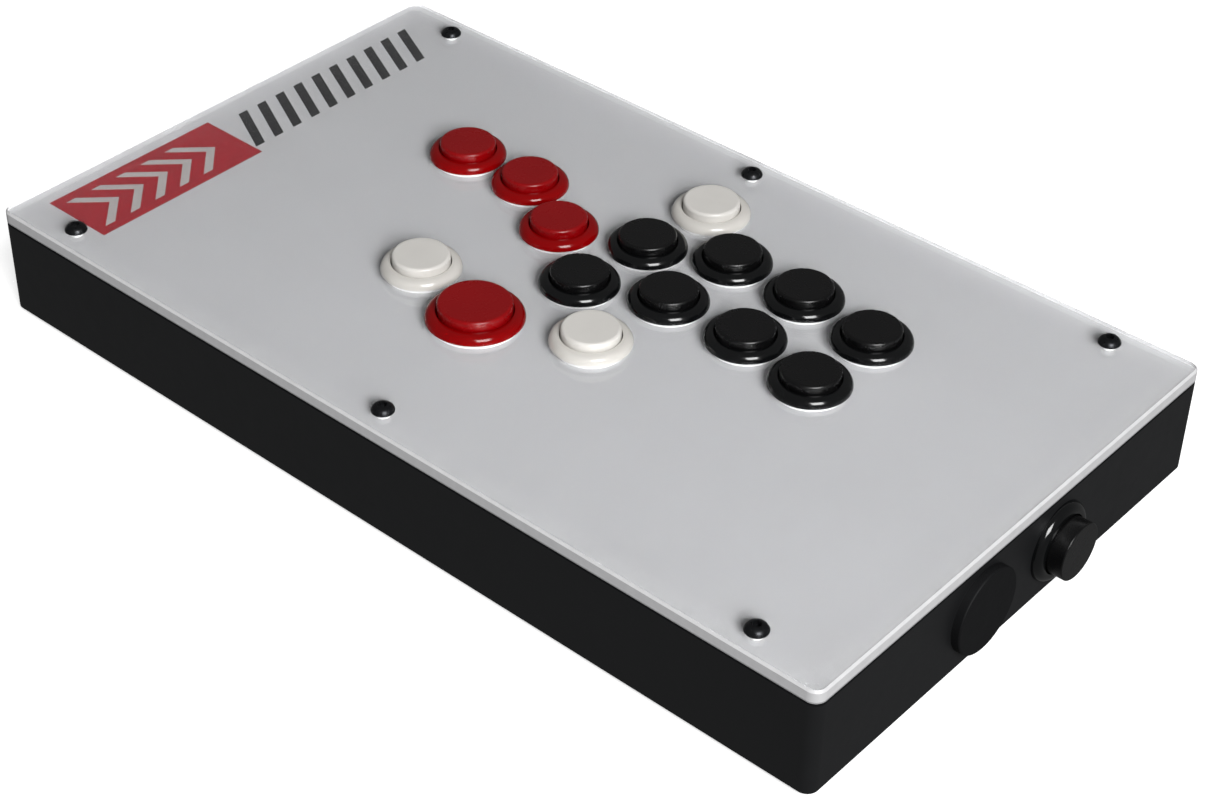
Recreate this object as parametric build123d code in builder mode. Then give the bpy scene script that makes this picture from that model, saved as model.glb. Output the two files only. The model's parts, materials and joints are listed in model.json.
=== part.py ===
"""Arcade button panel: a flat leverless controller with round pushbuttons.

Frame: origin at the centre of the underside of the base mat, +Z up, +X along the long side,
+Y towards the rear wall. Millimetres.
"""

import os
from math import sqrt

from build123d import *

os.makedirs("parts", exist_ok=True)

# ---- overall size ---------------------------------------------------------------------------
LENGTH, WIDTH, CORNER = 350.0, 200.0, 4.0
MAT_T = 2.0
PLATE_T = 2.0
SHEET_T = 0.46
SHEET_AIR = 0.04  # the sheet lies loose: a film of air parts it from the acrylic
ACRYLIC_T, ACRYLIC_CHAMFER = 4.0, 0.7
SHELL_H = 35.5
WALL = 3.0
SHELL_CHAMFER, SHELL_INNER_CORNER = 0.5, 1.2
MAT_CORNER, PLATE_CORNER = 6.0, 1.0

SHELL_TOP = MAT_T + SHELL_H
ACRYLIC_BOTTOM = SHELL_TOP + SHEET_T + SHEET_AIR
PANEL_TOP = ACRYLIC_BOTTOM + ACRYLIC_T
PLATE_TOP = MAT_T + PLATE_T
MAT_INSET = 4.0
PLATE_GAP = 0.2
SHADOW_GAP_H, SHADOW_GAP_IN = 1.0, 0.8

# ---- M4 fasteners ---------------------------------------------------------------------------
SCREW_X, SCREW_Y = 146.3, 90.7
SCREW_SPOTS = [(x, y) for x in (-SCREW_X, 0.0, SCREW_X) for y in (-SCREW_Y, SCREW_Y)]
SHANK_R, CLEAR_R, HEX_AF = 1.95, 2.25, 2.5
HEAD_R, HEAD_H, HEAD_EDGE_H = 3.8, 2.2, 0.35
HEAD_LAND = 0.4  # flat ring round the hex socket
HEAD_DOME_MID = (0.82 * HEAD_R, 0.68 * HEAD_H)
PANEL_SCREW_L, PANEL_HEX_DEPTH = 12.0, 1.4
BASE_HEAD_R, BASE_SCREW_L, BASE_HEX_DEPTH = 3.75, 10.0, 1.2
SINK_GAP = 0.1
POST_R, POST_BORE_R = 4.5, 2.3
INSERT_R, INSERT_BORE_R, INSERT_L = 2.8, 2.0, 6.0
INSERT_POCKET_R = 2.83
ACCESS_R = 4.5

# ---- pushbuttons: heights are above the face the flange sits on ------------------------------
LIP_H, LIP_W, LIP_FILLET, FLANGE_EDGE_H = 3.0, 0.45, 0.3, 0.4
FLANGE_BULGE = (0.55, 0.6)  # how far the flange's dome stands off the straight line, along R and Z
LEDGE_Z, COLLAR_TOP, COLLAR_BOTTOM = -5.0, -5.3, -8.0
BARREL_L = 18.0
CROWN_T = 1.6
STEM_R, STEM_TIP = 1.5, -11.5
CARRIER_TOP, CARRIER_T, CARRIER_RIM_T = -13.0, 1.5, 1.2
CARRIER_GAP, CARRIER_WALL = 0.05, 1.25
NUT_H, NUT_NOTCHES, NUT_NOTCH = 5.0, 6, (1.6, 3.0)

# radii: flange, barrel, upper bore, lower bore, plunger, collar, plunger hollow
SMALL = dict(flange=13.65, barrel=11.9, bore=10.15, low=10.9, plunger=9.8, collar=10.6, hollow=8.4)
LARGE = dict(flange=16.5, barrel=14.9, bore=12.75, low=13.6, plunger=12.4, collar=13.2, hollow=11.0)
SMALL_PROUD, LARGE_PROUD, SIDE_PROUD = 5.8, 6.2, 8.4
CROWN_EDGE, SIDE_CROWN_EDGE = 1.0, 0.35
HOLE_GAP, NUT_GAP, NUT_WALL = 0.2, 0.05, 1.9

# ---- microswitch ----------------------------------------------------------------------------
SWITCH_X, SWITCH_Y, SWITCH_CORNER, SWITCH_GAP = 12.8, 6.0, 0.5, 0.2
SWITCH_TOP, SWITCH_BOTTOM = -11.0, -18.0
SWITCH_BORE_R, SWITCH_BORE_END = 1.9, -15.6
TERMINAL_X, TERMINAL_L, TERMINAL_BLADE = 4.0, 6.0, (0.5, 2.8)

# ---- button layout on the panel -------------------------------------------------------------
DIRECTION_SPOTS = {
    "left_button": (-82.1, 32.9),
    "down_button": (-53.0, 33.5),
    "right_button": (-26.7, 19.3),
}
JUMP_SPOT = (-12.9, -36.2)
ACTION_SPOTS = {
    "action_1_button": (2.3, 31.6),
    "action_2_button": (29.1, 43.7),
    "action_3_button": (59.2, 43.5),
    "action_4_button": (89.5, 39.7),
    "action_5_button": (-0.5, 0.5),
    "action_6_button": (27.6, 12.5),
    "action_7_button": (59.1, 13.1),
    "action_8_button": (88.6, 8.6),
}
EXTRA_SPOTS = {
    "extra_1_button": (-45.0, -28.2),
    "extra_2_button": (23.5, -21.0),
    "extra_3_button": (5.0, 62.0),
}
SMALL_SPOTS = {**DIRECTION_SPOTS, **ACTION_SPOTS, **EXTRA_SPOTS}

# ---- right-hand wall ------------------------------------------------------------------------
SIDE_Z = 20.0
SIDE_BUTTON_Y, PLUG_Y = 20.8, -19.8
PLUG_R, PLUG_PROUD, PLUG_BARREL_L = 14.7, 3.0, 12.0
PLUG_FILLET, PLUG_HOLLOW_RISE = 0.6, 0.8

# ---- encoder board and USB inlet ------------------------------------------------------------
BOARD_X, BOARD_Y, BOARD_LX, BOARD_LY, BOARD_T, BOARD_CORNER = -112.0, 67.0, 48.0, 54.0, 1.6, 2.0
BOARD_Z = PLATE_TOP + 6.0
BOARD_TOP = BOARD_Z + BOARD_T
BOARD_HOLE_X, BOARD_HOLE_Y, BOARD_HOLE_R = 20.0, 22.0, 1.6
STANDOFF_R, STANDOFF_BORE_R = 2.6, 1.35
BOARD_SCREW_R, BOARD_SCREW_L = 1.3, 6.0
BOARD_SCREW_HEAD_R, BOARD_SCREW_HEAD_H = 2.5, 1.6
CHIP_SIZE, CHIP_H, CHIP_DY = 10.0, 1.4, -2.0
CAN_R, CAN_H, CAN_DX, CAN_DY = 2.0, 4.2, 8.0, 12.0
HEADER_SIZE, HEADER_OPENING, HEADER_H = (9.0, 5.0), (7.4, 2.4), 5.0
HEADER_COUNT, HEADER_PITCH, HEADER_DY = 3, 11.0, -22.0
USB_W, USB_H, USB_L, USB_SKIN = 9.0, 3.2, 7.5, 0.35
USB_CORNER, USB_INNER_CORNER, USB_FLOOR_T = 1.2, 0.9, 1.0
TONGUE_W, TONGUE_T, TONGUE_SETBACK = 6.6, 0.7, 0.8
USB_FACE_Y = WIDTH / 2 - WALL - 0.5
USB_Z = BOARD_TOP + USB_H / 2
SLOT_W, SLOT_H, SLOT_CORNER = 12.6, 6.6, 1.5
CUT = 1.0  # how far a cutting tool starts and ends outside a wall


def save(piece, name):
    """Label a finished piece and write it as one STEP file."""
    piece.part.label = name
    export_step(piece.part, f"parts/{name}.step")


def panel_seat(x, y):
    """Seat of a button on the panel's top face."""
    return Plane(origin=(x, y, PANEL_TOP))


def wall_seat(y, inset=0.0):
    """Seat on the right-hand wall, facing outwards, optionally set back into the wall."""
    return Plane(origin=(LENGTH / 2 - inset, y, SIDE_Z), x_dir=(0, 1, 0), z_dir=(1, 0, 0))


def housing_shape(r):
    """Domed flange that rises to a lip, stepped bore and plain barrel."""
    lip_r = r["bore"] + LIP_W
    shoulder = (
        (r["flange"] + lip_r) / 2 + FLANGE_BULGE[0], (FLANGE_EDGE_H + LIP_H) / 2 + FLANGE_BULGE[1]
    )
    with BuildPart() as housing:
        with BuildSketch(Plane.XZ) as profile:
            with BuildLine():
                ThreePointArc((r["flange"], FLANGE_EDGE_H), shoulder, (lip_r, LIP_H))
                Polyline(
                    (lip_r, LIP_H), (r["bore"], LIP_H), (r["bore"], LEDGE_Z), (r["low"], LEDGE_Z),
                    (r["low"], -BARREL_L), (r["barrel"], -BARREL_L), (r["barrel"], 0),
                    (r["flange"], 0), (r["flange"], FLANGE_EDGE_H),
                )
            make_face()
            fillet(profile.vertices().sort_by_distance((r["bore"], LIP_H))[0], LIP_FILLET)
        revolve(axis=Axis.Z)
    return housing.part


def plunger_shape(r, proud, crown_edge=CROWN_EDGE):
    """Flat-topped cap with a retaining collar and a central stem that presses the switch."""
    with BuildPart() as plunger:
        with BuildSketch(Plane.XZ) as profile:
            with BuildLine():
                Polyline(
                    (0, proud), (r["plunger"], proud), (r["plunger"], COLLAR_TOP),
                    (r["collar"], COLLAR_TOP), (r["collar"], COLLAR_BOTTOM),
                    (r["hollow"], COLLAR_BOTTOM), (r["hollow"], proud - CROWN_T),
                    (STEM_R, proud - CROWN_T), (STEM_R, STEM_TIP), (0, STEM_TIP), close=True,
                )
            make_face()
            fillet(profile.vertices().sort_by_distance((r["plunger"], proud))[0], crown_edge)
        revolve(axis=Axis.Z)
    return plunger.part


def carrier_shape(r):
    """Cup that snaps into the barrel from below and holds the switch."""
    ring_outer = r["low"] - CARRIER_GAP
    ring_inner = ring_outer - CARRIER_WALL
    with BuildPart() as carrier:
        with BuildSketch(Plane.XZ):
            with BuildLine():
                Polyline(
                    (0, CARRIER_TOP), (ring_outer, CARRIER_TOP), (ring_outer, -BARREL_L),
                    (r["barrel"], -BARREL_L), (r["barrel"], -BARREL_L - CARRIER_RIM_T),
                    (ring_inner, -BARREL_L - CARRIER_RIM_T), (ring_inner, CARRIER_TOP - CARRIER_T),
                    (0, CARRIER_TOP - CARRIER_T), close=True,
                )
            make_face()
        revolve(axis=Axis.Z)
        with BuildSketch(Plane.XY.offset(CARRIER_TOP)):
            Rectangle(SWITCH_X + SWITCH_GAP, SWITCH_Y + SWITCH_GAP)
        extrude(amount=-CARRIER_T, mode=Mode.SUBTRACT)
    return carrier.part


def nut_shape(r):
    """Ring nut hanging below its seat, with spanner notches."""
    with BuildPart() as nut:
        with BuildSketch():
            Circle(r["barrel"] + NUT_WALL)
            Circle(r["barrel"] + NUT_GAP, mode=Mode.SUBTRACT)
            with PolarLocations(r["barrel"] + NUT_WALL, NUT_NOTCHES):
                Rectangle(*NUT_NOTCH, mode=Mode.SUBTRACT)
        extrude(amount=-NUT_H)
    return nut.part


with BuildPart() as switch_master:
    with BuildSketch(Plane.XY.offset(SWITCH_TOP)):
        RectangleRounded(SWITCH_X, SWITCH_Y, SWITCH_CORNER)
    extrude(amount=SWITCH_BOTTOM - SWITCH_TOP)
    with BuildSketch(Plane.XY.offset(SWITCH_TOP)):
        Circle(SWITCH_BORE_R)
    extrude(amount=SWITCH_BORE_END - SWITCH_TOP, mode=Mode.SUBTRACT)

with BuildPart() as terminal_master:
    with BuildSketch(Plane.XY.offset(SWITCH_BOTTOM)):
        with Locations((-TERMINAL_X, 0), (TERMINAL_X, 0)):
            Rectangle(*TERMINAL_BLADE)
    extrude(amount=-TERMINAL_L)

# ---- case -----------------------------------------------------------------------------------
with BuildPart() as base_mat:
    with BuildSketch():
        RectangleRounded(LENGTH - 2 * MAT_INSET, WIDTH - 2 * MAT_INSET, MAT_CORNER)
        with Locations(*SCREW_SPOTS):
            Circle(ACCESS_R, mode=Mode.SUBTRACT)
    extrude(amount=MAT_T)
save(base_mat, "base_mat")

with BuildPart() as base_plate:
    with BuildSketch(Plane.XY.offset(MAT_T)):
        RectangleRounded(
            LENGTH - 2 * (WALL + PLATE_GAP), WIDTH - 2 * (WALL + PLATE_GAP), PLATE_CORNER
        )
    extrude(amount=PLATE_T)
    with Locations(*[(x, y, MAT_T) for x, y in SCREW_SPOTS]):
        Cone(
            BASE_HEAD_R + SINK_GAP, SHANK_R + SINK_GAP, PLATE_T,
            align=(Align.CENTER, Align.CENTER, Align.MIN), mode=Mode.SUBTRACT,
        )
save(base_plate, "base_plate")

with BuildPart() as case_shell:
    with BuildSketch(Plane.XY.offset(MAT_T)):
        RectangleRounded(LENGTH, WIDTH, CORNER)
    extrude(amount=SHELL_H - SHADOW_GAP_H)
    chamfer(case_shell.faces().sort_by(Axis.Z)[0].edges(), SHELL_CHAMFER)
    # the top edge steps in, which leaves a narrow shadow line under the panel
    with BuildSketch(Plane.XY.offset(SHELL_TOP - SHADOW_GAP_H)):
        RectangleRounded(
            LENGTH - 2 * SHADOW_GAP_IN, WIDTH - 2 * SHADOW_GAP_IN, CORNER - SHADOW_GAP_IN
        )
    extrude(amount=SHADOW_GAP_H)
    with BuildSketch(Plane.XY.offset(MAT_T)):
        RectangleRounded(LENGTH - 2 * WALL, WIDTH - 2 * WALL, SHELL_INNER_CORNER)
    extrude(amount=SHELL_H, mode=Mode.SUBTRACT)
    # screw posts, tied to the long walls by ribs
    post_h = SHELL_TOP - PLATE_TOP
    rib_y = WIDTH / 2 - WALL / 2 - SCREW_Y
    with BuildSketch(Plane.XY.offset(PLATE_TOP)):
        with Locations(*SCREW_SPOTS):
            Circle(POST_R)
        with Locations(*[(x, y + (rib_y if y > 0 else -rib_y) / 2) for x, y in SCREW_SPOTS]):
            Rectangle(WALL, rib_y)
    extrude(amount=post_h)
    with Locations(*[(x, y, PLATE_TOP) for x, y in SCREW_SPOTS]):
        Cylinder(
            POST_BORE_R, post_h,
            align=(Align.CENTER, Align.CENTER, Align.MIN), mode=Mode.SUBTRACT,
        )
    with Locations(*[(x, y, z) for x, y in SCREW_SPOTS for z in (PLATE_TOP, SHELL_TOP - INSERT_L)]):
        Cylinder(
            INSERT_POCKET_R, INSERT_L,
            align=(Align.CENTER, Align.CENTER, Align.MIN), mode=Mode.SUBTRACT,
        )
    # two button holes in the right-hand wall
    with BuildSketch(Plane.YZ.offset(LENGTH / 2 + CUT)):
        with Locations((SIDE_BUTTON_Y, SIDE_Z), (PLUG_Y, SIDE_Z)):
            Circle(SMALL["barrel"] + HOLE_GAP)
    extrude(amount=-(WALL + 2 * CUT), mode=Mode.SUBTRACT)
    # cable slot in the rear wall
    with BuildSketch(Plane.XZ.offset(-WIDTH / 2 - CUT)):
        with Locations((BOARD_X, USB_Z)):
            RectangleRounded(SLOT_W, SLOT_H, SLOT_CORNER)
    extrude(amount=WALL + 2 * CUT, mode=Mode.SUBTRACT)
save(case_shell, "case_shell")

with BuildPart() as thread_inserts:
    with BuildSketch(Plane.XY.offset(PLATE_TOP), Plane.XY.offset(SHELL_TOP - INSERT_L)):
        with Locations(*SCREW_SPOTS):
            Circle(INSERT_R)
            Circle(INSERT_BORE_R, mode=Mode.SUBTRACT)
    extrude(amount=INSERT_L)
save(thread_inserts, "thread_inserts")


def panel_layer(bottom, thickness):
    """One full-size layer of the top panel with every button hole and screw hole."""
    with BuildPart() as layer:
        with BuildSketch(Plane.XY.offset(bottom)):
            RectangleRounded(LENGTH, WIDTH, CORNER)
            with Locations(*SMALL_SPOTS.values()):
                Circle(SMALL["barrel"] + HOLE_GAP, mode=Mode.SUBTRACT)
            with Locations(JUMP_SPOT):
                Circle(LARGE["barrel"] + HOLE_GAP, mode=Mode.SUBTRACT)
            with Locations(*SCREW_SPOTS):
                Circle(CLEAR_R, mode=Mode.SUBTRACT)
        extrude(amount=thickness)
    return layer


artwork_sheet = panel_layer(SHELL_TOP, SHEET_T)
save(artwork_sheet, "artwork_sheet")

with BuildPart() as acrylic_panel:
    add(panel_layer(ACRYLIC_BOTTOM, ACRYLIC_T).part)
    outline = acrylic_panel.faces().sort_by(Axis.Z)[-1].outer_wire().edges()
    chamfer(outline, ACRYLIC_CHAMFER)
save(acrylic_panel, "acrylic_panel")

# ---- screws ---------------------------------------------------------------------------------
with BuildPart() as button_head_screw:
    with BuildSketch(Plane.XZ):
        with BuildLine():
            Line((0, HEAD_H), (HEX_AF / 2 + HEAD_LAND, HEAD_H))
            ThreePointArc(
                (HEX_AF / 2 + HEAD_LAND, HEAD_H), HEAD_DOME_MID, (HEAD_R, HEAD_EDGE_H)
            )
            Polyline(
                (HEAD_R, HEAD_EDGE_H), (HEAD_R, 0), (SHANK_R, 0), (SHANK_R, -PANEL_SCREW_L),
                (0, -PANEL_SCREW_L), (0, HEAD_H),
            )
        make_face()
    revolve(axis=Axis.Z)
    with BuildSketch(Plane.XY.offset(HEAD_H)):
        RegularPolygon(HEX_AF / sqrt(3), 6)
    extrude(amount=-PANEL_HEX_DEPTH, mode=Mode.SUBTRACT)

with BuildPart() as panel_screws:
    with Locations(*[(x, y, PANEL_TOP) for x, y in SCREW_SPOTS]):
        add(button_head_screw.part)
save(panel_screws, "panel_screws")

with BuildPart() as countersunk_screw:
    with BuildSketch(Plane.XZ):
        with BuildLine():
            Polyline(
                (0, 0), (BASE_HEAD_R, 0), (SHANK_R, PLATE_T), (SHANK_R, BASE_SCREW_L),
                (0, BASE_SCREW_L), close=True,
            )
        make_face()
    revolve(axis=Axis.Z)
    with BuildSketch():
        RegularPolygon(HEX_AF / sqrt(3), 6)
    extrude(amount=BASE_HEX_DEPTH, mode=Mode.SUBTRACT)

with BuildPart() as base_screws:
    with Locations(*[(x, y, MAT_T) for x, y in SCREW_SPOTS]):
        add(countersunk_screw.part)
save(base_screws, "base_screws")

# ---- pushbuttons ----------------------------------------------------------------------------
small_housing = housing_shape(SMALL)
large_housing = housing_shape(LARGE)
small_plunger = plunger_shape(SMALL, SMALL_PROUD)
large_plunger = plunger_shape(LARGE, LARGE_PROUD)
side_plunger = plunger_shape(SMALL, SIDE_PROUD, SIDE_CROWN_EDGE)

# name -> (seat, housing, plunger)
BUTTONS = {name: (panel_seat(*at), small_housing, small_plunger) for name, at in SMALL_SPOTS.items()}
BUTTONS["jump_button"] = (panel_seat(*JUMP_SPOT), large_housing, large_plunger)
BUTTONS["side_button"] = (wall_seat(SIDE_BUTTON_Y), small_housing, side_plunger)

for button, (seat, housing_master, plunger_master) in BUTTONS.items():
    with BuildPart() as housing:
        with Locations(seat.location):
            add(housing_master)
    save(housing, f"{button}_housing")
    with BuildPart() as plunger:
        with Locations(seat.location):
            add(plunger_master)
    save(plunger, f"{button}_plunger")

SWITCH_GROUPS = {
    "direction_switches": list(DIRECTION_SPOTS),
    "jump_switch": ["jump_button"],
    "action_switches": list(ACTION_SPOTS),
    "extra_switches": list(EXTRA_SPOTS),
    "side_switch": ["side_button"],
}
for group, names in SWITCH_GROUPS.items():
    with BuildPart() as switches:
        with Locations(*[BUTTONS[n][0].location for n in names]):
            add(switch_master.part)
    save(switches, group)

with BuildPart() as switch_terminals:
    with Locations(*[seat.location for seat, _, _ in BUTTONS.values()]):
        add(terminal_master.part)
save(switch_terminals, "switch_terminals")

small_seats = [seat for name, (seat, _, _) in BUTTONS.items() if name != "jump_button"]
with BuildPart() as switch_carriers:
    with Locations(*[seat.location for seat in small_seats]):
        add(carrier_shape(SMALL))
save(switch_carriers, "switch_carriers")

with BuildPart() as jump_carrier:
    with Locations(BUTTONS["jump_button"][0].location):
        add(carrier_shape(LARGE))
save(jump_carrier, "jump_carrier")

panel_nut_seats = [Plane(origin=(x, y, SHELL_TOP)) for x, y in SMALL_SPOTS.values()]
wall_nut_seats = [wall_seat(y, WALL) for y in (SIDE_BUTTON_Y, PLUG_Y)]
with BuildPart() as ring_nuts:
    with Locations(*[seat.location for seat in panel_nut_seats + wall_nut_seats]):
        add(nut_shape(SMALL))
save(ring_nuts, "ring_nuts")

with BuildPart() as jump_nut:
    with Locations((*JUMP_SPOT, SHELL_TOP)):
        add(nut_shape(LARGE))
save(jump_nut, "jump_nut")

with BuildPart() as blanking_plug:
    with BuildSketch(wall_seat(PLUG_Y)):
        Circle(PLUG_R)
    extrude(amount=PLUG_PROUD)
    fillet(blanking_plug.faces().sort_by(Axis.X)[-1].edges(), PLUG_FILLET)
    with BuildSketch(wall_seat(PLUG_Y)):
        Circle(SMALL["barrel"])
    extrude(amount=-PLUG_BARREL_L)
    with BuildSketch(wall_seat(PLUG_Y, PLUG_BARREL_L)):
        Circle(SMALL["bore"])
    extrude(amount=PLUG_BARREL_L + PLUG_HOLLOW_RISE, mode=Mode.SUBTRACT)
save(blanking_plug, "blanking_plug")

# ---- encoder board --------------------------------------------------------------------------
BOARD_SPOTS = [
    (BOARD_X + sx * BOARD_HOLE_X, BOARD_Y + sy * BOARD_HOLE_Y) for sx in (-1, 1) for sy in (-1, 1)
]
with BuildPart() as encoder_board:
    with BuildSketch(Plane.XY.offset(BOARD_Z)):
        with Locations((BOARD_X, BOARD_Y)):
            RectangleRounded(BOARD_LX, BOARD_LY, BOARD_CORNER)
        with Locations(*BOARD_SPOTS):
            Circle(BOARD_HOLE_R, mode=Mode.SUBTRACT)
    extrude(amount=BOARD_T)
save(encoder_board, "encoder_board")

with BuildPart() as board_standoffs:
    with BuildSketch(Plane.XY.offset(PLATE_TOP)):
        with Locations(*BOARD_SPOTS):
            Circle(STANDOFF_R)
            Circle(STANDOFF_BORE_R, mode=Mode.SUBTRACT)
    extrude(amount=BOARD_Z - PLATE_TOP)
save(board_standoffs, "board_standoffs")

with BuildPart() as board_screws:
    with BuildSketch(Plane.XY.offset(BOARD_TOP)):
        with Locations(*BOARD_SPOTS):
            Circle(BOARD_SCREW_HEAD_R)
    extrude(amount=BOARD_SCREW_HEAD_H)
    with BuildSketch(Plane.XY.offset(BOARD_TOP)):
        with Locations(*BOARD_SPOTS):
            Circle(BOARD_SCREW_R)
    extrude(amount=-BOARD_SCREW_L)
save(board_screws, "board_screws")

with BuildPart() as board_components:
    with BuildSketch(Plane.XY.offset(BOARD_TOP)):
        with Locations((BOARD_X, BOARD_Y + CHIP_DY)):
            Rectangle(CHIP_SIZE, CHIP_SIZE)
    extrude(amount=CHIP_H)
    with BuildSketch(Plane.XY.offset(BOARD_TOP)):
        with Locations(*[(BOARD_X + dx, BOARD_Y + CAN_DY) for dx in (-CAN_DX, CAN_DX)]):
            Circle(CAN_R)
    extrude(amount=CAN_H)
    with BuildSketch(Plane.XY.offset(BOARD_TOP)):
        with Locations((BOARD_X, BOARD_Y + HEADER_DY)):
            with GridLocations(HEADER_PITCH, 0, HEADER_COUNT, 1):
                Rectangle(*HEADER_SIZE)
                Rectangle(*HEADER_OPENING, mode=Mode.SUBTRACT)
    extrude(amount=HEADER_H)
save(board_components, "board_components")

with BuildPart() as usb_socket:
    with BuildSketch(Plane.XZ.offset(-USB_FACE_Y)):
        with Locations((BOARD_X, USB_Z)):
            RectangleRounded(USB_W, USB_H, USB_CORNER)
    extrude(amount=USB_L)
    with BuildSketch(Plane.XZ.offset(-USB_FACE_Y)):
        with Locations((BOARD_X, USB_Z)):
            RectangleRounded(USB_W - 2 * USB_SKIN, USB_H - 2 * USB_SKIN, USB_INNER_CORNER)
    extrude(amount=USB_L - USB_FLOOR_T, mode=Mode.SUBTRACT)
    with BuildSketch(Plane.XZ.offset(-USB_FACE_Y + USB_L)):
        with Locations((BOARD_X, USB_Z)):
            Rectangle(TONGUE_W, TONGUE_T)
    extrude(amount=TONGUE_SETBACK - USB_L)
save(usb_socket, "usb_socket")
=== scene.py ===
import json
from math import cos, radians, sin

import bpy
from mathutils import Matrix, Vector


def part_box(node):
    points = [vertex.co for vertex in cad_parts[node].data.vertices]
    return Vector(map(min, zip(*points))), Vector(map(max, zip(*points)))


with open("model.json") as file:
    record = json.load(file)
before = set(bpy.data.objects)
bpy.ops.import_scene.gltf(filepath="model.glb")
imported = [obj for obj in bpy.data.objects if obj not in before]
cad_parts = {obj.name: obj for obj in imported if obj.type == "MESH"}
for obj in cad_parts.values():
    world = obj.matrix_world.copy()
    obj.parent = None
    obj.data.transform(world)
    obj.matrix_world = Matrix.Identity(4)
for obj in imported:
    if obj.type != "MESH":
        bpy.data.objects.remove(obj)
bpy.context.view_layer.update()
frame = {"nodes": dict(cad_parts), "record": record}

MM = 0.001

# ---- places, all worked out from the frame --------------------------------------------------
PANEL_LOW, PANEL_HIGH = (Vector(corner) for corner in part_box("acrylic_panel"))
PANEL_TOP = PANEL_HIGH.z
PANEL_CENTRE = (PANEL_LOW + PANEL_HIGH) / 2

# ---- camera ---------------------------------------------------------------------------------
CAMERA_TURN, CAMERA_TILT, CAMERA_ROLL = radians(40.58), radians(37.74), radians(1.14)
CAMERA_DISTANCE = 769.9 * MM
CAMERA_AIM = Vector((46.4 * MM, -41.5 * MM, PANEL_TOP))
CAMERA_LENS, SENSOR_WIDTH = 74.46, 36.0

# ---- printed graphic on the artwork sheet ---------------------------------------------------
PRINT_X = (-168.0 * MM, -139.0 * MM)
PRINT_MARGIN = 4.0 * MM
RED_BLOCK_Y = (-85.0 * MM, -13.0 * MM)
CHEVRON_PITCH, CHEVRON_STROKE = 11.0 * MM, 4.2 * MM
BAR_ROW_Y = (-7.0 * MM, 83.0 * MM)
BAR_PITCH, BAR_STROKE, BAR_LEAN = 9.0 * MM, 4.2 * MM, 0.5
# painted light: within this width of the sheet's edges its colour is raised by this gain
EDGE_LIGHT_WIDTH, EDGE_LIGHT_GAIN = 11.0 * MM, 1.12

# ---- acrylic: a normal with more of Z than this belongs to a level face ----------------------
FLAT_FACE = 0.9

# ---- stage and light ------------------------------------------------------------------------
FLOOR_HALF, FLOOR_GLOW = 6.0, 0.6
WORLD_LEVEL = 0.15
KEY_PLACE, KEY_SIZE, KEY_POWER = (1.65, -0.9, 1.55), (1.1, 1.1), 68.0


# ---- shader helpers -------------------------------------------------------------------------
class Shader:
    """A new material with one Principled shader and short calls for the nodes around it."""

    def __init__(self, name, color, roughness, **settings):
        self.material = bpy.data.materials.new(name)
        self.material.use_nodes = True
        self.nodes = self.material.node_tree.nodes
        self.links = self.material.node_tree.links
        self.surface = self.nodes["Principled BSDF"]
        self.set("Base Color", (*color, 1.0))
        self.set("Roughness", roughness)
        for socket, value in settings.items():
            self.set(socket.replace("_", " "), value)
        self.place = self.nodes.new("ShaderNodeTexCoord").outputs["Object"]

    def set(self, socket, value):
        self.surface.inputs[socket].default_value = value

    def plug(self, output, socket):
        self.links.new(output, self.surface.inputs[socket])

    def noise(self, per_metre, detail=3.0, roughness=0.55, stretch=None):
        """Noise of about per_metre cells a metre, optionally stretched along the axes."""
        node = self.nodes.new("ShaderNodeTexNoise")
        node.inputs["Scale"].default_value = per_metre
        node.inputs["Detail"].default_value = detail
        node.inputs["Roughness"].default_value = roughness
        source = self.place
        if stretch:
            mapping = self.nodes.new("ShaderNodeMapping")
            mapping.inputs["Scale"].default_value = stretch
            self.links.new(source, mapping.inputs["Vector"])
            source = mapping.outputs["Vector"]
        self.links.new(source, node.inputs["Vector"])
        return node.outputs["Fac"]

    def remap(self, value, out_low, out_high, low=0.3, high=0.7):
        """Maps low..high to out_low..out_high; noise mostly lies between 0.3 and 0.7."""
        node = self.nodes.new("ShaderNodeMapRange")
        self.links.new(value, node.inputs["Value"])
        for socket, number in zip(("From Min", "From Max", "To Min", "To Max"),
                                  (low, high, out_low, out_high)):
            node.inputs[socket].default_value = number
        return node.outputs["Result"]

    def math(self, operation, *values):
        node = self.nodes.new("ShaderNodeMath")
        node.operation = operation
        for socket, value in zip(node.inputs, values):
            if isinstance(value, (int, float)):
                socket.default_value = value
            else:
                self.links.new(value, socket)
        return node.outputs["Value"]

    def inside(self, value, low, high):
        """1 where value lies between low and high, 0 elsewhere."""
        above = self.math("GREATER_THAN", value, low)
        return self.math("MULTIPLY", above, self.math("LESS_THAN", value, high))

    def mix(self, factor, first, second):
        """Colour mix; first and second are RGB tuples or colour outputs."""
        node = self.nodes.new("ShaderNodeMix")
        node.data_type = "RGBA"
        for socket, value in ((node.inputs["Factor"], factor), (node.inputs[6], first),
                              (node.inputs[7], second)):
            if isinstance(value, tuple):
                socket.default_value = (*value, 1.0)
            elif isinstance(value, (int, float)):
                socket.default_value = value
            else:
                self.links.new(value, socket)
        return node.outputs[2]

    def bump(self, height, distance, strength=1.0):
        """Stacks one more bump on top of those already on the surface."""
        node = self.nodes.new("ShaderNodeBump")
        node.inputs["Strength"].default_value = strength
        node.inputs["Distance"].default_value = distance
        self.links.new(height, node.inputs["Height"])
        normal = self.surface.inputs["Normal"]
        if normal.is_linked:
            self.links.new(normal.links[0].from_socket, node.inputs["Normal"])
        self.plug(node.outputs["Normal"], "Normal")


def shade(color, factor):
    return tuple(channel * factor for channel in color)


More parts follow.
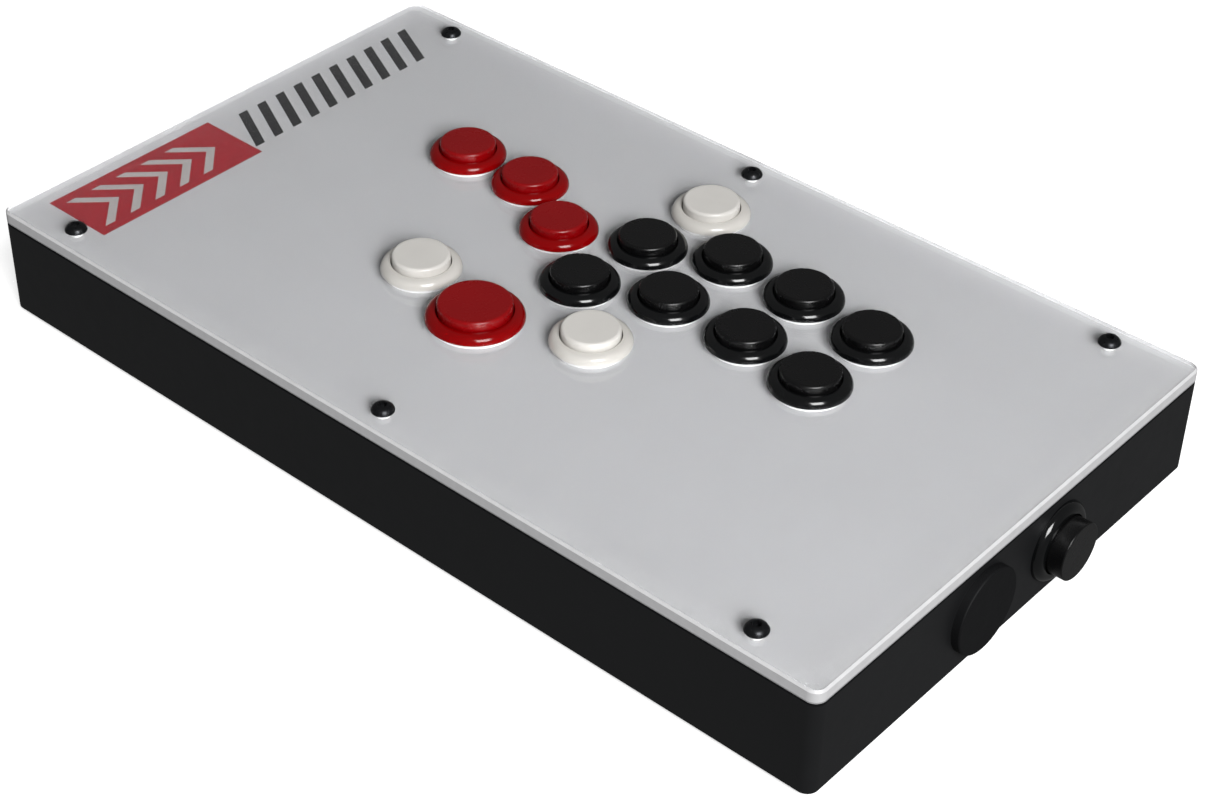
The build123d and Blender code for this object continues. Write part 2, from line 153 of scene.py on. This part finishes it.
# ---- materials ------------------------------------------------------------------------------
def moulded(name, color, roughness, grain=0.006, wear=0.05, **settings):
    """Injection-moulded plastic: faint flow tone, uneven gloss, a very fine skin."""
    s = Shader(name, color, roughness, **settings)
    flow = s.noise(per_metre=55.0, detail=3.0)
    s.plug(s.mix(s.remap(flow, 0.0, 1.0), shade(color, 0.96), shade(color, 1.04)), "Base Color")
    smudge = s.noise(per_metre=180.0, detail=5.0, roughness=0.6)
    s.plug(s.remap(smudge, max(roughness - wear, 0.02), roughness + wear), "Roughness")
    s.bump(s.noise(per_metre=900.0, detail=2.0), grain * MM)
    return s.material


def textured_case():
    """Case moulding with a fine spark-eroded grain and slightly polished patches."""
    color = (0.0084, 0.0088, 0.0096)
    s = Shader("case_grain", color, 0.5, Specular_IOR_Level=0.32)
    cloud = s.noise(per_metre=22.0, detail=4.0, roughness=0.6)
    s.plug(s.mix(s.remap(cloud, 0.0, 1.0), shade(color, 0.94), shade(color, 1.06)), "Base Color")
    s.plug(s.remap(s.noise(per_metre=140.0, detail=6.0, roughness=0.65), 0.46, 0.54), "Roughness")
    s.bump(s.noise(per_metre=1900.0, detail=3.0, roughness=0.6), 0.04 * MM, 0.6)
    return s.material


def clear_acrylic():
    """Cast acrylic: clear, faintly smudged faces and pale, frosted cut edges."""
    clear = (0.97, 0.975, 0.975)
    s = Shader("clear_acrylic_sheet", clear, 0.03, IOR=1.49, Transmission_Weight=1.0)
    s.plug(s.remap(s.noise(per_metre=24.0, detail=5.0, roughness=0.6), 0.02, 0.075), "Roughness")
    s.bump(s.noise(per_metre=14.0, detail=1.0), 0.03 * MM, 0.3)

    edge = s.nodes.new("ShaderNodeBsdfPrincipled")
    edge.inputs["Roughness"].default_value = 0.35
    sawn = s.remap(s.noise(per_metre=300.0, detail=4.0), 0.0, 1.0)
    s.links.new(s.mix(sawn, (0.64, 0.64, 0.65), (0.70, 0.70, 0.71)), edge.inputs["Base Color"])

    split = s.nodes.new("ShaderNodeSeparateXYZ")
    s.links.new(s.nodes.new("ShaderNodeTexCoord").outputs["Normal"], split.inputs["Vector"])
    flat = s.math("GREATER_THAN", s.math("ABSOLUTE", split.outputs["Z"]), FLAT_FACE)
    choose = s.nodes.new("ShaderNodeMixShader")
    shaders = (edge.outputs["BSDF"], s.surface.outputs["BSDF"])
    for source, socket in zip((flat, *shaders), choose.inputs):
        s.links.new(source, socket)
    s.links.new(choose.outputs["Shader"], s.nodes["Material Output"].inputs["Surface"])
    return s.material


def stripes(s, value, zone, pitch, stroke):
    """Mask of whole stripes along value, as many as fit between the ends of zone."""
    low, high = zone
    count = int((high - low + pitch - stroke) / pitch)
    phase = s.math("FLOORED_MODULO", s.math("SUBTRACT", value, low), pitch)
    on = s.math("LESS_THAN", phase, stroke)
    return s.math("MULTIPLY", on, s.inside(value, low, low + count * pitch))


def printed_sheet():
    """White printed film with a made-up graphic band: chevrons on a red block, slanted bars.

    The film's colour is painted a little brighter along its border: painted light standing in for
    the light that enters by the panel's edges.
    """
    white, black = (0.333, 0.333, 0.341), (0.006, 0.006, 0.007)
    red, cream = (0.22, 0.002, 0.008), (0.28, 0.265, 0.26)
    s = Shader("printed_artwork", white, 0.5)
    split = s.nodes.new("ShaderNodeSeparateXYZ")
    s.links.new(s.place, split.inputs["Vector"])
    x, y = split.outputs["X"], split.outputs["Y"]
    across = s.math("SUBTRACT", x, (PRINT_X[0] + PRINT_X[1]) / 2)
    half_core = (PRINT_X[1] - PRINT_X[0]) / 2 - PRINT_MARGIN
    in_core = s.inside(across, -half_core, half_core)
    block = s.math("MULTIPLY", s.inside(x, *PRINT_X), s.inside(y, *RED_BLOCK_Y))

    fold = s.math("ADD", y, s.math("ABSOLUTE", across))
    fold_zone = (RED_BLOCK_Y[0] + PRINT_MARGIN + half_core, RED_BLOCK_Y[1] - PRINT_MARGIN)
    chevrons = stripes(s, fold, fold_zone, CHEVRON_PITCH, CHEVRON_STROKE)
    lean = s.math("ADD", y, s.math("MULTIPLY", across, BAR_LEAN))
    bars = stripes(s, lean, BAR_ROW_Y, BAR_PITCH, BAR_STROKE)

    inset_x = s.math("SUBTRACT", PANEL_HIGH.x, s.math("ABSOLUTE", x))
    inset_y = s.math("SUBTRACT", PANEL_HIGH.y, s.math("ABSOLUTE", y))
    # painted light: the paper colour is brightened towards the sheet's border
    painted_edge_light = s.remap(s.math("MINIMUM", inset_x, inset_y), 1.0, 0.0, 0.0, EDGE_LIGHT_WIDTH)
    tone = s.remap(s.noise(per_metre=30.0, detail=3.0), 0.0, 1.0)
    paper = s.mix(tone, shade(white, 0.985), shade(white, 1.015))
    paper = s.mix(painted_edge_light, paper, shade(white, EDGE_LIGHT_GAIN))
    color = s.mix(s.math("MULTIPLY", bars, in_core), s.mix(block, paper, red), black)
    color = s.mix(s.math("MULTIPLY", chevrons, in_core), color, cream)
    s.plug(color, "Base Color")
    s.plug(s.remap(s.noise(per_metre=400.0, detail=4.0), 0.42, 0.56), "Roughness")
    s.bump(s.noise(per_metre=2200.0, detail=2.0), 0.01 * MM, 0.4)
    return s.material


def dark_metal():
    """Black oxide on steel: blue-black, with bare metal showing through in specks."""
    s = Shader("black_oxide", (0.02, 0.021, 0.023), 0.3, Metallic=0.75)
    worn = s.remap(s.noise(per_metre=700.0, detail=6.0, roughness=0.7), 0.0, 1.0, 0.6, 0.78)
    s.plug(s.mix(worn, (0.018, 0.019, 0.021), (0.10, 0.10, 0.10)), "Base Color")
    s.plug(s.remap(s.noise(per_metre=1100.0, detail=4.0), 0.24, 0.42), "Roughness")
    s.bump(s.noise(per_metre=3000.0, detail=2.0), 0.012 * MM, 0.5)
    return s.material


def plain_metal(name, color, roughness, stretch):
    """Rolled or turned metal with a directional grain."""
    s = Shader(name, color, roughness, Metallic=1.0)
    grain = s.noise(per_metre=900.0, detail=4.0, roughness=0.6, stretch=stretch)
    s.plug(s.mix(s.remap(grain, 0.0, 1.0), shade(color, 0.85), shade(color, 1.1)), "Base Color")
    s.plug(s.remap(grain, roughness - 0.08, roughness + 0.1), "Roughness")
    s.bump(grain, 0.01 * MM, 0.5)
    return s.material


def foam_rubber():
    """Closed-cell foam mat with small open pores, painted darker in their low spots as shade."""
    s = Shader("foam_rubber", (0.016, 0.016, 0.017), 0.85)
    pores = s.noise(per_metre=1300.0, detail=5.0, roughness=0.7)
    pore_shade = s.remap(pores, 0.0, 1.0)
    # painted shade: the colour is darker where the pore bump is low
    s.plug(s.mix(pore_shade, (0.008, 0.008, 0.008), (0.026, 0.026, 0.027)), "Base Color")
    s.plug(s.remap(pores, 0.75, 0.95), "Roughness")
    s.bump(pores, 0.15 * MM, 0.8)
    return s.material


def solder_mask():
    """Green board with faint copper tracks under the mask."""
    s = Shader("solder_mask", (0.01, 0.10, 0.035), 0.35)
    brick = s.nodes.new("ShaderNodeTexBrick")
    s.links.new(s.place, brick.inputs["Vector"])
    brick.inputs["Scale"].default_value = 160.0
    brick.inputs["Mortar Size"].default_value = 0.035
    brick.inputs["Color1"].default_value = (0.008, 0.085, 0.03, 1.0)
    brick.inputs["Color2"].default_value = (0.011, 0.105, 0.038, 1.0)
    brick.inputs["Mortar"].default_value = (0.03, 0.2, 0.07, 1.0)
    s.plug(brick.outputs["Color"], "Base Color")
    s.plug(s.remap(s.noise(per_metre=500.0), 0.28, 0.42), "Roughness")
    s.bump(brick.outputs["Fac"], 0.03 * MM, 0.6)
    return s.material


MATERIALS = {
    "case_plastic": textured_case(),
    "plug_plastic": moulded(
        "plug_moulding", (0.0042, 0.0044, 0.0050), 0.6, grain=0.02, Specular_IOR_Level=0.2
    ),
    "clear_acrylic": clear_acrylic(),
    "artwork_print": printed_sheet(),
    "red_flange_plastic": moulded(
        "red_gloss", (0.22, 0.0002, 0.0008), 0.13, Specular_IOR_Level=0.3
    ),
    "red_plunger_plastic": moulded(
        "red_satin", (0.25, 0.0003, 0.0016), 0.27, Specular_IOR_Level=0.4
    ),
    "black_flange_plastic": moulded("black_gloss", (0.0030, 0.0033, 0.0036), 0.14),
    "black_plunger_plastic": moulded(
        "black_satin", (0.0030, 0.0030, 0.0032), 0.27, Specular_IOR_Level=0.4
    ),
    "white_flange_plastic": moulded("white_gloss", (0.62, 0.60, 0.565), 0.16),
    "white_plunger_plastic": moulded("white_satin", (0.71, 0.69, 0.655), 0.32),
    "black_oxide_steel": dark_metal(),
    "base_steel": plain_metal("rolled_steel", (0.42, 0.42, 0.43), 0.35, (1.0, 20.0, 1.0)),
    "socket_metal": plain_metal("stamped_steel", (0.55, 0.55, 0.56), 0.28, (8.0, 1.0, 1.0)),
    "brass": plain_metal("turned_brass", (0.62, 0.43, 0.16), 0.28, (1.0, 1.0, 18.0)),
    "mat_rubber": foam_rubber(),
    "switch_plastic": moulded("switch_moulding", (0.013, 0.013, 0.015), 0.45, grain=0.04),
    "carrier_plastic": moulded("nylon_moulding", (0.02, 0.02, 0.021), 0.42, grain=0.04),
    "circuit_board": solder_mask(),
    "component_plastic": moulded("component_moulding", (0.03, 0.03, 0.031), 0.5, grain=0.03),
}


def dress(record):
    """Gives every CAD node the detailed material of its slot."""
    for entry in record["subparts"]:
        node = frame["nodes"][entry["node"]]
        for slot in node.material_slots:
            slot.material = MATERIALS[entry["material_slot"]]


dress(frame["record"])
# light reaches the artwork straight through the clear panel
frame["nodes"]["acrylic_panel"].visible_shadow = False


# ---- stage ----------------------------------------------------------------------------------
def floor():
    """Plain pale floor, which glows a little so that it reads as white paper."""
    half = FLOOR_HALF
    mesh = bpy.data.meshes.new("floor")
    corners = [(-half, -half, 0), (half, -half, 0), (half, half, 0), (-half, half, 0)]
    mesh.from_pydata(corners, [], [(0, 1, 2, 3)])
    obj = bpy.data.objects.new("floor", mesh)
    bpy.context.scene.collection.objects.link(obj)
    s = Shader("floor_paper", (0.9, 0.9, 0.9), 0.9, Specular_IOR_Level=0.1)
    s.set("Emission Color", (1.0, 1.0, 1.0, 1.0))
    s.set("Emission Strength", FLOOR_GLOW)
    s.bump(s.noise(per_metre=60.0), 0.05 * MM, 0.2)
    mesh.materials.append(s.material)
    # the white floor is seen, but throws no light back on the dark case
    obj.visible_diffuse = obj.visible_glossy = False


def area_light(name, location, size, power, aim):
    """Rectangular lamp turned towards aim."""
    data = bpy.data.lights.new(name, "AREA")
    data.shape = "RECTANGLE"
    data.size, data.size_y = size
    data.energy = power
    obj = bpy.data.objects.new(name, data)
    obj.location = location
    obj.rotation_euler = (Vector(aim) - Vector(location)).to_track_quat("-Z", "Y").to_euler()
    bpy.context.scene.collection.objects.link(obj)


def world_light(level):
    """Even white surroundings."""
    world = bpy.data.worlds.new("studio")
    bpy.context.scene.world = world
    world.use_nodes = True
    background = world.node_tree.nodes["Background"]
    background.inputs["Color"].default_value = (1.0, 1.0, 1.0, 1.0)
    background.inputs["Strength"].default_value = level


def camera():
    """Camera at azimuth TURN round from the front, TILT above the horizon, rolled slightly."""
    flat = cos(CAMERA_TILT)
    back = Vector((sin(CAMERA_TURN) * flat, -cos(CAMERA_TURN) * flat, sin(CAMERA_TILT)))
    level = Vector((0, 0, 1)).cross(back).normalized()
    upright = back.cross(level)
    right = cos(CAMERA_ROLL) * level + sin(CAMERA_ROLL) * upright
    up = cos(CAMERA_ROLL) * upright - sin(CAMERA_ROLL) * level
    data = bpy.data.cameras.new("camera")
    data.lens, data.sensor_width, data.sensor_fit = CAMERA_LENS, SENSOR_WIDTH, "HORIZONTAL"
    data.clip_start, data.clip_end = 0.01, 50.0
    obj = bpy.data.objects.new("camera", data)
    turn = Matrix((right, up, back)).transposed().to_4x4()
    obj.matrix_world = Matrix.Translation(CAMERA_AIM + CAMERA_DISTANCE * back) @ turn
    bpy.context.scene.collection.objects.link(obj)
    bpy.context.scene.camera = obj


floor()
world_light(WORLD_LEVEL)
area_light("key", KEY_PLACE, KEY_SIZE, KEY_POWER, PANEL_CENTRE)
camera()

bpy.context.scene.view_settings.view_transform = "Standard"
